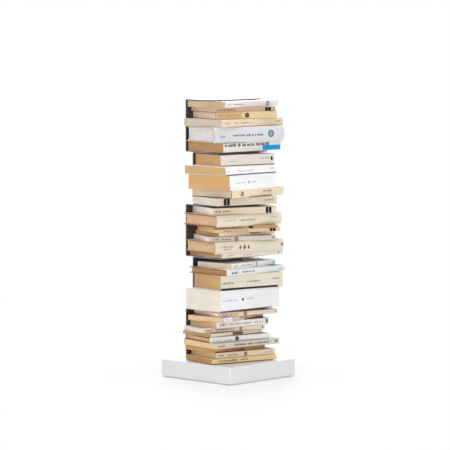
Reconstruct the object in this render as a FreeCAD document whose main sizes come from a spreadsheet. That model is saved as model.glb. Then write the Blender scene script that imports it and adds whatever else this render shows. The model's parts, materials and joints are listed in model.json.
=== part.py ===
import FreeCAD, Part
import Sketcher
import math
import os

# A free-standing column of five folded steel shelf modules on a weighted square base, filled with
# books that lie flat and hide it. Millimetres, Z up, origin on the floor at the middle of the base.
# X runs along the books' spines, and the modules' back panels face +Y.

SIZES = {
    # base: a folded cover over a ballast block, closed from below by a plate on four glides
    "base_side": 255.0,
    "base_cover_height": 45.0,
    "base_cover_wall": 2.0,
    "base_corner_radius": 3.0,
    "base_edge_radius": 1.2,
    "glide_height": 3.0,
    "glide_radius": 12.0,
    "glide_inset": 26.0,
    "base_plate_thickness": 2.5,
    "base_plate_gap": 0.5,
    "ballast_side": 180.0,
    "plate_screw_inset": 20.0,
    "plate_screw_length": 16.0,
    # column: five folded modules, bolted plate to plate and set alternately back and forward
    "sheet": 2.5,
    "fold_inner_radius": 1.5,
    "plate_corner_radius": 4.0,
    "module_width": 185.0,
    "module_depth": 103.0,
    "column_setback": 5.5,
    "module_stagger": 26.0,
    "stack_headroom": 1.3,
    "module_screw_spacing_x": 120.0,
    "module_screw_spacing_y": 44.0,
    "column_bolt_length": 25.0,
    # screws: the shank's radius as a share of the sheet that the countersunk head sits in
    "screw_share_of_sheet": 0.8,
    "bolt_share_of_sheet": 1.0,
    "socket_share_of_radius": 0.6,
    # clearances around every screw: loose in a plain hole, close in a tapped one
    "plain_hole_clearance": 0.25,
    "tapped_hole_clearance": 0.05,
    "head_clearance": 0.1,
    "head_recess": 0.15,
    # books
    "book_gap": 0.2,
    "fore_edge_gap": 0.2,
    "paper_cover": 0.5,
    "board": 2.5,
    "board_square": 3.0,
    "case_spine": 1.0,
    "hollow_back": 0.3,
}

# Each book from the top of the column to its foot: length of the spine, width to the fore-edge,
# thickness, how far it is turned from square (degrees, clockwise from above), and how far its
# fore-edge's middle lies along X. A stack is one module's books.
STACKS = [
    [
        (206.0, 139.0, 16.0, 0.0, 14.0),
        (187.0, 125.0, 11.0, 15.0, 15.0),
        (187.0, 125.0, 19.5, 17.0, 21.0),
        (222.0, 149.0, 19.5, 4.0, 9.0),
        (220.0, 140.0, 41.0, 14.0, 13.5),
        (208.0, 140.0, 25.5, 4.0, 17.0),
    ],
    [
        (175.0, 117.0, 29.0, 11.0, 0.0),
        (191.0, 151.0, 22.0, 0.0, -31.0),
        (193.0, 143.0, 40.0, -4.0, -30.0),
        (209.0, 141.0, 21.0, -2.0, -1.0),
        (187.0, 125.0, 20.0, 13.0, -6.0),
    ],
    [
        (188.0, 125.0, 18.0, 21.0, 18.0),
        (218.0, 146.0, 31.0, 9.0, 6.0),
        (186.0, 122.0, 7.5, 26.0, 30.0),
        (189.0, 126.0, 9.5, 24.0, 33.0),
        (176.0, 118.0, 9.5, 14.0, 27.0),
        (189.0, 122.0, 12.5, 26.0, 18.0),
        (221.0, 144.0, 31.5, 12.0, 11.0),
        (208.0, 140.0, 11.5, 8.0, 21.0),
    ],
    [
        (179.0, 121.0, 13.0, -3.0, 2.0),
        (214.0, 144.0, 16.5, 3.0, 0.0),
        (200.0, 127.0, 39.0, 12.0, 7.0),
        (217.0, 133.0, 56.0, 3.0, -12.0),
    ],
    [
        (186.0, 124.0, 11.5, 14.0, 26.0),
        (177.0, 120.0, 12.5, -7.0, -22.0),
        (175.0, 117.0, 17.5, 9.0, 7.0),
        (196.0, 92.0, 12.0, 17.0, -6.0),
        (177.0, 119.0, 9.0, 7.0, -18.0),
        (191.0, 124.0, 14.5, 13.0, -6.0),
        (214.0, 142.0, 15.0, 9.0, 3.0),
        (179.0, 121.0, 13.0, 5.0, -9.0),
        (187.0, 125.0, 14.0, 14.0, 15.0),
        (205.0, 131.0, 12.5, 14.0, 4.0),
    ],
]
BOOK_SIZES = ("length", "width", "thickness", "turn", "shift")
# How far the spine of each hardback is rounded out. The other books are paperbacks.
SPINE_ROUNDS = {5: 5.0, 13: 4.0, 18: 4.0, 21: 2.0, 29: 1.5}


class Size:
    """A dimension: the expression that works it out from the sheets, and what it comes to."""

    def __init__(self, text, value):
        self.text = text
        self.value = value

    def _with(self, sign, other, value):
        text = other.text if isinstance(other, Size) else str(other)
        return Size(f"({self.text} {sign} {text})", value)

    def __add__(self, other):
        return self._with("+", other, self.value + number(other))

    def __sub__(self, other):
        return self._with("-", other, self.value - number(other))

    def __mul__(self, other):
        return self._with("*", other, self.value * number(other))

    def __truediv__(self, other):
        return self._with("/", other, self.value / number(other))

    def __neg__(self):
        return Size(f"(0 - {self.text})", -self.value)


def number(size):
    return size.value if isinstance(size, Size) else float(size)


def largest(sizes):
    return Size("max(" + "; ".join(s.text for s in sizes) + ")", max(s.value for s in sizes))


def smallest(first, second):
    return Size(f"min({first.text}; {second.text})", min(first.value, second.value))


def total(sizes):
    result = sizes[0]
    for size in sizes[1:]:
        result = result + size
    return result


def tangent(angle):
    return Size(f"tan({angle.text})", math.tan(math.radians(angle.value)))


def cosine(angle):
    return Size(f"cos({angle.text})", math.cos(math.radians(angle.value)))


def magnitude(size):
    return Size(f"abs({size.text})", abs(size.value))


doc = FreeCAD.newDocument("spine_bookshelf")
sizes_sheet = doc.addObject("Spreadsheet::Sheet", "sizes")
worked_out_sheet = doc.addObject("Spreadsheet::Sheet", "worked_out")
ZERO = Size("0", 0.0)
nodes = []


def driving(alias, value):
    """A plain number in the sheet of driving dimensions."""
    driving.row += 1
    sizes_sheet.set(f"A{driving.row}", alias)
    sizes_sheet.set(f"B{driving.row}", str(value))
    sizes_sheet.setAlias(f"B{driving.row}", alias)
    return Size(f"sizes.{alias}", value)


def worked_out(alias, size):
    """A dimension that follows from others, kept in the second sheet under a name."""
    worked_out.row += 1
    worked_out_sheet.set(f"A{worked_out.row}", alias)
    worked_out_sheet.set(f"B{worked_out.row}", "=" + size.text)
    worked_out_sheet.setAlias(f"B{worked_out.row}", alias)
    return Size(f"worked_out.{alias}", size.value)


driving.row = 0
worked_out.row = 0


def bind(thing, **settings):
    """Sets properties of an object, each bound to the sheets where it is a Size."""
    for name, size in settings.items():
        setattr(thing, name, number(size))
        if isinstance(size, Size):
            thing.setExpression(name, size.text)
    return thing


def place(thing, x=ZERO, y=ZERO, z=ZERO, turn=None):
    rotation = FreeCAD.Rotation(FreeCAD.Vector(0, 0, 1), number(turn) if turn else 0.0)
    thing.Placement = FreeCAD.Placement(FreeCAD.Vector(x.value, y.value, z.value), rotation)
    for axis, size in (("x", x), ("y", y), ("z", z)):
        thing.setExpression(f"Placement.Base.{axis}", size.text)
    if turn:
        thing.setExpression("Placement.Rotation.Angle", turn.text)
    return thing


def node(thing, name):
    """Marks an object as a sub-part of its own, which is written to a file of that name."""
    thing.Label = name
    nodes.append(thing)
    return thing


def add(kind, name, **settings):
    thing = doc.addObject(kind, name)
    thing.Label = name
    return bind(thing, **settings)


def compound(name, members):
    thing = add("Part::Compound", name)
    thing.Links = members
    return thing


def cut(name, base, tool):
    thing = add("Part::Cut", name)
    thing.Base = base
    thing.Tool = tool
    return thing


def fuse(name, base, tool):
    thing = add("Part::Fuse", name)
    thing.Base = base
    thing.Tool = tool
    return thing


def sketch_on(body, plane, name):
    sketch = body.newObject("Sketcher::SketchObject", name)
    feature = next(o for o in body.Origin.OriginFeatures if o.Role == plane)
    sketch.AttachmentSupport = (feature, "")
    sketch.MapMode = "FlatFace"
    return sketch


def fix_point(sketch, edge, end, x, y):
    """Holds one end of an edge at (x, y) from the sketch's origin."""
    for kind, size in (("DistanceX", x), ("DistanceY", y)):
        held = Sketcher.Constraint(kind, -1, 1, edge, end, size.value)
        index = sketch.addConstraint(held)
        sketch.setExpression(f"Constraints[{index}]", size.text)


def draw_outline(sketch, points):
    """Draws a closed outline. Each point is (x, y) and the line that leaves it runs to the next,
    or (x, y, radius, side) for an arc of that radius, which bulges in the direction of side. A
    sketch holds its arcs counter-clockwise, so a clockwise one is drawn from its other end."""
    starts = []
    for index, point in enumerate(points):
        x, y = point[:2]
        next_x, next_y = points[(index + 1) % len(points)][:2]
        start = FreeCAD.Vector(x.value, y.value, 0)
        end = FreeCAD.Vector(next_x.value, next_y.value, 0)
        if len(point) == 2:
            edge = sketch.addGeometry(Part.LineSegment(start, end))
            starts.append(1)
            fix_point(sketch, edge, 1, x, y)
            continue
        radius, side = point[2:]
        chord = end - start
        rise = math.sqrt(max(radius.value**2 - chord.Length**2 / 4, 0))
        across = FreeCAD.Vector(-chord.y, chord.x, 0).normalize()
        across = across if across.dot(side) > 0 else -across
        middle = (start + end) / 2 + across * (radius.value - rise)
        clockwise = (middle - start).cross(end - middle).z < 0
        arc = Part.Arc(end, middle, start) if clockwise else Part.Arc(start, middle, end)
        edge = sketch.addGeometry(arc)
        starts.append(2 if clockwise else 1)
        fix_point(sketch, edge, starts[-1], x, y)
        held = sketch.addConstraint(Sketcher.Constraint("Radius", edge, radius.value))
        sketch.setExpression(f"Constraints[{held}]", radius.text)
    for edge, start in enumerate(starts):
        after = (edge + 1) % len(starts)
        joined = Sketcher.Constraint("Coincident", edge, 3 - start, after, starts[after])
        sketch.addConstraint(joined)


def pad(body, sketch, name, length, symmetric=False):
    feature = body.newObject("PartDesign::Pad", name)
    feature.Profile = sketch
    feature.SideType = "Symmetric" if symmetric else "One side"
    return bind(feature, Length=length)


def pocket_up(body, sketch, name, length):
    feature = body.newObject("PartDesign::Pocket", name)
    feature.Profile = sketch
    feature.Reversed = True
    return bind(feature, Length=length)


def round_edges(body, name, radius, chosen):
    """Rounds the edges of the body's last feature that the test picks."""
    doc.recompute()
    base = body.Tip
    names = [f"Edge{i}" for i, edge in enumerate(base.Shape.Edges, 1) if chosen(edge)]
    feature = body.newObject("PartDesign::Fillet", name)
    feature.Base = (base, names)
    return bind(feature, Radius=radius)


def is_upright(edge):
    low, high = edge.BoundBox.ZMin, edge.BoundBox.ZMax
    return edge.BoundBox.XLength < 1e-6 and edge.BoundBox.YLength < 1e-6 and high > low


def rectangle(x0, y0, x1, y1):
    return [(x0, y0), (x1, y0), (x1, y1), (x0, y1)]


def four_corners(name, make, dx, dy, x=ZERO, y=ZERO):
    """Four of a thing, half of dx and dy either side of (x, y), each made and placed by make."""
    made = []
    for index, (side_x, side_y) in enumerate(((-0.5, -0.5), (0.5, -0.5), (0.5, 0.5), (-0.5, 0.5))):
        made.append(make(f"{name}_{index + 1}", x + dx * side_x, y + dy * side_y))
    return made


def cylinder(name, radius, height, x=ZERO, y=ZERO, z=ZERO):
    return place(add("Part::Cylinder", name, Radius=radius, Height=height), x, y, z)


def cone(name, low_radius, high_radius, height, x=ZERO, y=ZERO, z=ZERO):
    thing = add("Part::Cone", name, Radius1=low_radius, Radius2=high_radius, Height=height)
    return place(thing, x, y, z)


def countersunk_screw(name, radius, length, head_at_top, x, y, z):
    """A flat-headed socket screw of that length whose lower end is at z. The head's cone has a
    right angle and is twice the shank's radius, and its hexagon socket is as deep as the cone."""
    head = radius
    shank_z = z if head_at_top else z + head
    shank = cylinder(name + "_shank", radius, length - head, x, y, shank_z)
    if head_at_top:
        flare = cone(name + "_head", radius, radius * 2, head, x, y, z + length - head)
        socket_z = z + length - head
    else:
        flare = cone(name + "_head", radius * 2, radius, head, x, y, z)
        socket_z = z
    screw = fuse(name + "_solid", shank, flare)
    socket = add(
        "Part::Prism",
        name + "_socket",
        Circumradius=radius * size.socket_share_of_radius,
        Height=head,
    )
    place(socket, x, y, socket_z)
    return cut(name, screw, socket)


def through_hole(name, radius, thickness, x, y, z=ZERO):
    """A cutter that runs a clearance past both faces of a plate whose lower face is at z."""
    past = size.plain_hole_clearance
    return cylinder(name, radius, thickness + past * 2, x, y, z - past)


def countersink(name, radius, thickness, head_at_top, x, y, z=ZERO):
    """A cutter for a countersunk hole in a plate whose lower face is at z: the shank's hole and the
    cone of its head, which lies a little under the plate's face."""
    hole = through_hole(name + "_hole", radius + size.plain_hole_clearance, thickness, x, y, z)
    wide = radius * 2 + size.head_clearance
    narrow = radius + size.head_clearance
    recess = size.head_recess
    if head_at_top:
        sink = cone(name + "_cone", narrow, wide, radius, x, y, z + thickness - radius - recess)
        mouth = cylinder(name + "_mouth", wide, recess * 2, x, y, z + thickness - recess)
    else:
        sink = cone(name + "_cone", wide, narrow, radius, x, y, z + recess)
        mouth = cylinder(name + "_mouth", wide, recess * 2, x, y, z - recess)
    return fuse(name, fuse(name + "_bore", hole, sink), mouth)


def make_base_cover():
    """A square box of folded sheet, open below, with four plain holes in its top for the bolts."""
    body = add("PartDesign::Body", "base_cover_blank")
    side, wall = size.base_side, size.base_cover_wall
    outer = sketch_on(body, "XY_Plane", "base_cover_outline")
    draw_outline(outer, rectangle(ZERO, ZERO, side, side))
    body.Tip = pad(body, outer, "base_cover_block", size.base_cover_height)
    round_edges(body, "base_cover_corners", size.base_corner_radius, is_upright)
    top = size.base_cover_height.value
    round_edges(
        body,
        "base_cover_rim",
        size.base_edge_radius,
        lambda edge: edge.BoundBox.ZMin > top - 1e-6,
    )
    inner = sketch_on(body, "XY_Plane", "base_cover_inside_outline")
    draw_outline(inner, rectangle(wall, wall, side - wall, side - wall))
    pocket_up(body, inner, "base_cover_inside", size.base_cover_height - wall)
    place(body, -side / 2, -side / 2, size.glide_height)
    radius = column_bolt_radius + size.plain_hole_clearance
    holes = four_corners(
        "base_cover_bolt_hole",
        lambda name, x, y: through_hole(name, radius, wall, x, y, base_top - wall),
        size.module_screw_spacing_x,
        size.module_screw_spacing_y,
        y=size.column_setback,
    )
    node(cut("base_cover", body, compound("base_cover_holes", holes)), "base_cover")


def make_base_plate():
    """The sheet that closes the base from below, countersunk from underneath for its screws."""
    side = size.base_side - (size.base_cover_wall + size.base_plate_gap) * 2
    thickness = size.base_plate_thickness
    blank = add("Part::Box", "base_plate_blank", Length=side, Width=side, Height=thickness)
    place(blank, -side / 2, -side / 2, size.glide_height)
    holes = four_corners(
        "base_plate_hole",
        lambda name, x, y: countersink(
            name, plate_screw_radius, thickness, False, x, y, size.glide_height
        ),
        plate_screw_spacing,
        plate_screw_spacing,
    )
    node(cut("base_plate", blank, compound("base_plate_holes", holes)), "base_plate")


def make_ballast():
    """The cast block that keeps the column upright. It fills the base from plate to cover, and is
    tapped from above for the column's bolts and from below for the plate's screws."""
    side = size.ballast_side
    low = size.glide_height + size.base_plate_thickness
    high = base_top - size.base_cover_wall
    blank = add("Part::Box", "ballast_blank", Length=side, Width=side, Height=high - low)
    place(blank, -side / 2, -side / 2, low)
    tapped = size.tapped_hole_clearance
    spare = size.plain_hole_clearance
    bolt_depth = size.column_bolt_length - size.sheet - size.base_cover_wall + spare * 4
    screw_depth = size.plate_screw_length - size.base_plate_thickness + spare * 4
    bolts = four_corners(
        "ballast_bolt_hole",
        lambda name, x, y: cylinder(
            name,
            column_bolt_radius + tapped,
            bolt_depth + spare,
            x,
            y,
            high - bolt_depth,
        ),
        size.module_screw_spacing_x,
        size.module_screw_spacing_y,
        y=size.column_setback,
    )
    screws = four_corners(
        "ballast_screw_hole",
        lambda name, x, y: cylinder(
            name, plate_screw_radius + tapped, screw_depth + spare, x, y, low - spare
        ),
        plate_screw_spacing,
        plate_screw_spacing,
    )
    node(cut("ballast_block", blank, compound("ballast_holes", bolts + screws)), "ballast_block")


def make_base_fixings():
    """The four glides under the base plate, and the screws that hold the plate to the ballast."""
    spread = size.base_side - size.glide_inset * 2
    glides = four_corners(
        "glide",
        lambda name, x, y: cylinder(name, size.glide_radius, size.glide_height, x, y),
        spread,
        spread,
    )
    node(compound("glides", glides), "glides")
    screws = four_corners(
        "base_plate_screw",
        lambda name, x, y: countersunk_screw(
            name,
            plate_screw_radius,
            size.plate_screw_length,
            False,
            x,
            y,
            size.glide_height + size.head_recess,
        ),
        plate_screw_spacing,
        plate_screw_spacing,
    )
    node(compound("base_plate_screws", screws), "base_plate_screws")


def module_profile():
    """The folded section of a module, from the front edge of its bottom plate round the back panel
    to the front edge of its top plate: y is the depth, z the height."""
    depth, high, sheet = size.module_depth, module_height, size.sheet
    inner = size.fold_inner_radius
    outer = inner + sheet
    out = FreeCAD.Vector(1, 0, 0)
    low_out = out + FreeCAD.Vector(0, -1, 0)
    high_out = out + FreeCAD.Vector(0, 1, 0)
    return [
        (ZERO, ZERO),
        (depth - outer, ZERO, outer, low_out),
        (depth, outer),
        (depth, high - outer, outer, high_out),
        (depth - outer, high),
        (ZERO, high),
        (ZERO, high - sheet),
        (depth - outer, high - sheet, inner, high_out),
        (depth - sheet, high - outer),
        (depth - sheet, outer, inner, low_out),
        (depth - outer, sheet),
        (ZERO, sheet),
    ]


def module_front(index):
    """Where the front edges of a module's plates lie: odd modules are set back, even ones forward."""
    offset = size.module_stagger / 2 if index % 2 else -(size.module_stagger / 2)
    return size.column_setback + offset - size.module_depth / 2


def make_module(index):
    """A module: two plates and a back panel folded from one sheet. Its bottom plate is countersunk
    for the screws that hold it to the module beneath, whose top plate is tapped for them."""
    name = f"shelf_module_{index}"
    front, bottom = module_front(index), module_bottom(index)
    body = add("PartDesign::Body", name + "_blank")
    sketch = sketch_on(body, "YZ_Plane", name + "_section")
    draw_outline(sketch, module_profile())
    body.Tip = pad(body, sketch, name + "_folded", size.module_width, symmetric=True)
    round_edges(
        body,
        name + "_corners",
        size.plate_corner_radius,
        lambda edge: is_upright(edge) and edge.BoundBox.YMax < 1e-6,
    )
    place(body, ZERO, front, bottom)
    last = index == len(STACKS)
    radius = column_bolt_radius if last else module_screw_radius
    holes = four_corners(
        name + "_sink",
        lambda label, x, y: countersink(label, radius, size.sheet, True, x, y, bottom),
        size.module_screw_spacing_x,
        size.module_screw_spacing_y,
        y=size.column_setback,
    )
    if index > 1:
        tapped = module_screw_radius + size.tapped_hole_clearance
        holes += four_corners(
            name + "_tapped",
            lambda label, x, y: through_hole(
                label, tapped, size.sheet, x, y, bottom + module_height - size.sheet
            ),
            size.module_screw_spacing_x,
            size.module_screw_spacing_y,
            y=size.column_setback,
        )
    node(cut(name, body, compound(name + "_holes", holes)), name)


def make_module_screws(index):
    """Four flat screws from a module's bottom plate down into the top plate of the next one, or the
    column's long bolts from the lowest module through the cover into the ballast."""
    last = index == len(STACKS)
    name = "column_bolts" if last else f"module_screws_{index}"
    radius = column_bolt_radius if last else module_screw_radius
    length = size.column_bolt_length if last else module_screw_length
    head_face = module_bottom(index) + size.sheet - size.head_recess
    screws = four_corners(
        name,
        lambda label, x, y: countersunk_screw(label, radius, length, True, x, y, head_face - length),
        size.module_screw_spacing_x,
        size.module_screw_spacing_y,
        y=size.column_setback,
    )
    node(compound(name + "_set", screws), name)


def arc_radius(chord, rise):
    """The radius of an arc over a chord with that rise."""
    return (chord * chord / 4 + rise * rise) / (rise * 2)


def case_profile(width, thickness, rise):
    """A hardback's case: two boards and a rounded spine. x runs from fore-edge to spine."""
    board = size.board
    inner_rise = rise - size.case_spine
    fold = width - rise
    outer_radius = arc_radius(thickness, rise)
    inner_radius = arc_radius(thickness - board * 2, inner_rise)
    out = FreeCAD.Vector(1, 0, 0)
    return [
        (ZERO, ZERO),
        (fold, ZERO, outer_radius, out),
        (fold, thickness),
        (ZERO, thickness),
        (ZERO, thickness - board),
        (fold, thickness - board, inner_radius, out),
        (fold, board),
        (ZERO, board),
    ]


def paper_cover_profile(width, thickness):
    """A paperback's cover: one sheet folded square round the back of the pages."""
    paper = size.paper_cover
    return [
        (ZERO, ZERO),
        (width, ZERO),
        (width, thickness),
        (ZERO, thickness),
        (ZERO, thickness - paper),
        (width - paper, thickness - paper),
        (width - paper, paper),
        (ZERO, paper),
    ]


def make_book(index, book, panel, z):
    """A book lying flat, its cover and its block of pages two solids. In its own frame y runs from
    the fore-edge to the spine. The corner of its fore-edge, or the panel's end where the book
    reaches past it, is pushed back as far as the radius of the module's folds lets it."""
    name = f"book_{index:02d}"
    body = add("PartDesign::Body", name + "_cover")
    sketch = sketch_on(body, "YZ_Plane", name + "_section")
    if index in spine_rounds:
        rise = spine_rounds[index]
        draw_outline(sketch, case_profile(book.width, book.thickness, rise))
        leaf = size.board
        square = size.board_square
        page_depth = book.width - rise - square - size.hollow_back
    else:
        draw_outline(sketch, paper_cover_profile(book.width, book.thickness))
        leaf = size.paper_cover
        square = ZERO
        page_depth = book.width - leaf
    body.Tip = pad(body, sketch, name + "_case", book.length, symmetric=True)
    page_length = book.length - square * 2
    pages = add(
        "Part::Box",
        name + "_pages",
        Length=page_length,
        Width=page_depth,
        Height=book.thickness - leaf * 2,
    )
    place(pages, -page_length / 2, square, leaf)
    # The fore-edge's rear corner, at most as far out as the panel's end, sets the distance.
    side = Size(f"({book.turn.text} < 0 ? -1 : 1)", -1.0 if book.turn.value < 0 else 1.0)
    corner = book.length / 2 * cosine(book.turn)
    panel_end = size.module_width / 2 + book.shift * side
    reach = smallest(corner, panel_end) * magnitude(tangent(book.turn))
    thing = compound(name, [body, pages])
    turn = -(book.turn - 180)
    stands_off = size.fold_inner_radius + size.fore_edge_gap + reach
    place(thing, book.shift, panel - stands_off, z, turn)
    node(thing, name)


class Named:
    """Holds named sizes."""


size = Named()
for alias, value in SIZES.items():
    setattr(size, alias, driving(alias, value))
spine_rounds = {i: driving(f"book_{i:02d}_spine_round", rise) for i, rise in SPINE_ROUNDS.items()}
stacks = []
book_count = 0
for stack in STACKS:
    stacks.append([])
    for values in stack:
        book_count += 1
        book = Named()
        book.index = book_count
        for word, value in zip(BOOK_SIZES, values):
            setattr(book, word, driving(f"book_{book_count:02d}_{word}", value))
        stacks[-1].append(book)

# Every module has the same height, which clears the tallest stack of books.
stack_heights = []
for index, stack in enumerate(stacks, 1):
    height = total([book.thickness for book in stack]) + size.book_gap * len(stack)
    stack_heights.append(worked_out(f"stack_{index}_height", height))
module_height = worked_out(
    "module_height", largest(stack_heights) + size.stack_headroom + size.sheet * 2
)
base_top = worked_out("base_top", size.glide_height + size.base_cover_height)
# The module screws end as far above the lower plate's underside as their heads lie sunk.
module_screw_radius = worked_out("module_screw_radius", size.sheet * size.screw_share_of_sheet)
module_screw_length = worked_out("module_screw_length", (size.sheet - size.head_recess) * 2)
column_bolt_radius = worked_out("column_bolt_radius", size.sheet * size.bolt_share_of_sheet)
plate_screw_radius = worked_out(
    "plate_screw_radius", size.base_plate_thickness * size.screw_share_of_sheet
)
plate_screw_spacing = worked_out(
    "plate_screw_spacing", size.ballast_side - size.plate_screw_inset * 2
)


def module_bottom(index):
    return base_top + module_height * (len(STACKS) - index)


make_base_cover()
make_base_plate()
make_ballast()
make_base_fixings()
for index, stack in enumerate(stacks, 1):
    make_module(index)
    make_module_screws(index)
    panel_face = module_front(index) + size.module_depth - size.sheet
    book_z = module_bottom(index) + size.sheet + size.book_gap
    for book in reversed(stack):
        lower = worked_out(f"book_{book.index:02d}_z", book_z)
        make_book(book.index, book, panel_face, lower)
        book_z = lower + book.thickness + size.book_gap
doc.recompute()

for thing in doc.Objects:
    if "Invalid" in thing.State or "Error" in thing.State:
        raise RuntimeError(f"{thing.Label} failed: {thing.State}")
for thing in nodes:
    if thing.Shape.isNull() or not thing.Shape.isValid() or not thing.Shape.Solids:
        raise RuntimeError(f"{thing.Label} has no valid shape")
# The pocket inside the cover has to have cut: a solid block would weigh far more than its walls.
cover = doc.getObject("base_cover").Shape
block_volume = SIZES["base_side"] ** 2 * SIZES["base_cover_height"]
if cover.Volume > block_volume / 4:
    raise RuntimeError("the base cover is not hollow")
# A book's cover goes round its pages, so the two together are never more than their block.
for book in [book for stack in stacks for book in stack]:
    parts = doc.getObject(f"book_{book.index:02d}").Shape
    block_volume = book.length.value * book.width.value * book.thickness.value
    if parts.Volume > block_volume * 1.001:
        raise RuntimeError(f"the cover of book {book.index} runs into its pages")

os.makedirs("parts", exist_ok=True)
for thing in nodes:
    thing.Shape.exportStep(os.path.join("parts", thing.Label + ".step"))
print(f"{len(nodes)} sub-parts, module height {module_height.value:g}")
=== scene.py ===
import json
import math

import bmesh
import bpy
import numpy as np
from mathutils import Matrix, Vector


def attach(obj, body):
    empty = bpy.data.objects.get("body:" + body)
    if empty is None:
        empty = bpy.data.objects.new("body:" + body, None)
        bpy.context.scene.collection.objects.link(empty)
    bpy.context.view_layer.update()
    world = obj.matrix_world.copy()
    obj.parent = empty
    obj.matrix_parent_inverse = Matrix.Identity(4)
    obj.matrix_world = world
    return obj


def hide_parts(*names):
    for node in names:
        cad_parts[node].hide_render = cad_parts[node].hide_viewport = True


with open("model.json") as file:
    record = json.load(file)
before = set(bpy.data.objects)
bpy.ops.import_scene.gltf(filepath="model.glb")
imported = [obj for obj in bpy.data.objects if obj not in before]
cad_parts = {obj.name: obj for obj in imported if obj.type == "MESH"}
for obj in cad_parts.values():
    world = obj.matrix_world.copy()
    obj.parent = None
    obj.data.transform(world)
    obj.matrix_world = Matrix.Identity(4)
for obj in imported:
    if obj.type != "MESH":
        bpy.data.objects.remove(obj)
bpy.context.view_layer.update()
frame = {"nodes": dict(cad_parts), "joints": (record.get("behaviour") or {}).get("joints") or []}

# The looks of a column bookshelf: a white powder-coated base, five folded black shelf modules, and
# the books that lie flat in them with their spines to -Y and their heads to -X. Metres throughout;
# lengths named in millimetres are turned into metres by MM.

MM = 0.001
PLACE = "place"  # the attribute that holds a point's place in its own book

HARDBACKS = (5, 13, 18, 21, 29)
BOARD = 2.4 * MM  # the thickness of a hardback's boards
SPINE_SHELL = 2.8 * MM  # the thickness of a hardback's case at its spine
SQUARE = 3.0 * MM  # how far a board stands past the leaves
LAYER = 0.3 * MM  # the height of one layer of a block of leaves
RAGGEDNESS = 0.3 * MM  # how unevenly the layers are trimmed
COVER, CARD, LEAVES, SILK = range(4)  # a book's material slots


def placed(name, data):
    """A new object of the scene."""
    thing = bpy.data.objects.new(name, data)
    bpy.context.scene.collection.objects.link(thing)
    return thing


# ---------------------------------------------------------------------------------------------
# node trees


class Wire:
    """An output of a node tree that can be written in sums. Numbers go through Math nodes, and
    vectors through Vector Math."""

    def __init__(self, tree, socket):
        self.tree = tree
        self.socket = socket

    def _sum(self, operation, first, second=None):
        parts = [first] if second is None else [first, second]
        vector = any(is_vector(part) for part in parts)
        kind = "ShaderNodeVectorMath" if vector else "ShaderNodeMath"
        return self.tree.add(kind, {"operation": operation}, parts)

    def __add__(self, other):
        return self._sum("ADD", self, other)

    def __sub__(self, other):
        return self._sum("SUBTRACT", self, other)

    def __rsub__(self, other):
        return self._sum("SUBTRACT", other, self)

    def __mul__(self, other):
        return self._sum("MULTIPLY", self, other)

    def __truediv__(self, other):
        return self._sum("DIVIDE", self, other)

    def __gt__(self, other):
        return self._sum("GREATER_THAN", self, other)

    def __abs__(self):
        return self._sum("ABSOLUTE", self)

    __radd__ = __add__
    __rmul__ = __mul__

    def floor(self):
        return self._sum("FLOOR", self)

    def past_floor(self):
        """What is left of a value past its last whole step."""
        return self - self.floor()

    def most(self, other):
        """The greater of two values."""
        return self._sum("MAXIMUM", self, other)

    def within(self):
        """The value held between 0 and 1."""
        return self.tree.add("ShaderNodeClamp", None, [self])

    def rises(self, at, soft):
        """0 below a limit and 1 above it, with a soft step between."""
        return ((self - at) * (1 / soft) + 0.5).within()

    def falls(self, at, soft):
        """1 below a limit and 0 above it, with a soft step between."""
        return ((self - at) * (-1 / soft) + 0.5).within()

    def over(self, threshold, gain):
        """How far a value is over a threshold, times a gain, held between 0 and 1."""
        return ((self - threshold) * gain).within()

    def sway(self, amount):
        """A noise made to vary about 0, by that amount from end to end."""
        return (self - 0.5) * amount

    def length(self):
        """The length of a vector."""
        settings = {"operation": "LENGTH"}
        return self.tree.add("ShaderNodeVectorMath", settings, [self], out="Value")

    def parts(self):
        """The three numbers of a vector."""
        split = self.tree.add("ShaderNodeSeparateXYZ", None, [self])
        return [Wire(self.tree, output) for output in split.socket.node.outputs]


def is_vector(part):
    return isinstance(part, tuple) or isinstance(part, Wire) and part.socket.type == "VECTOR"


class Tree:
    """A node tree that is being made, of a material, the world or Geometry Nodes."""

    def __init__(self, tree):
        self.tree = tree

    def add(self, kind, settings=None, inputs=(), out=0):
        """A new node. Its settings come first, then the values or links of its inputs, in their
        order or by name or number."""
        node = self.tree.nodes.new(kind)
        for name, value in (settings or {}).items():
            setattr(node, name, value)
        listed = inputs.items() if isinstance(inputs, dict) else enumerate(inputs)
        for key, value in listed:
            self.put(node.inputs[key], value)
        return Wire(self, node.outputs[out]) if len(node.outputs) else node

    def put(self, socket, value):
        """Links or sets an input. A colour of three numbers is made opaque."""
        if isinstance(value, Wire):
            self.tree.links.new(value.socket, socket)
        elif hasattr(value, "__len__") and len(value) == 3 and len(socket.default_value) == 4:
            socket.default_value = (*value, 1.0)
        else:
            socket.default_value = value

    def point(self, x, y, z):
        return self.add("ShaderNodeCombineXYZ", None, [x, y, z])


def linear(colour):
    """A screen colour of 0 to 255 as the light it stands for."""
    shares = [c / 255 for c in colour]
    return tuple(c / 12.92 if c <= 0.04045 else ((c + 0.055) / 1.055) ** 2.4 for c in shares)


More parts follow.
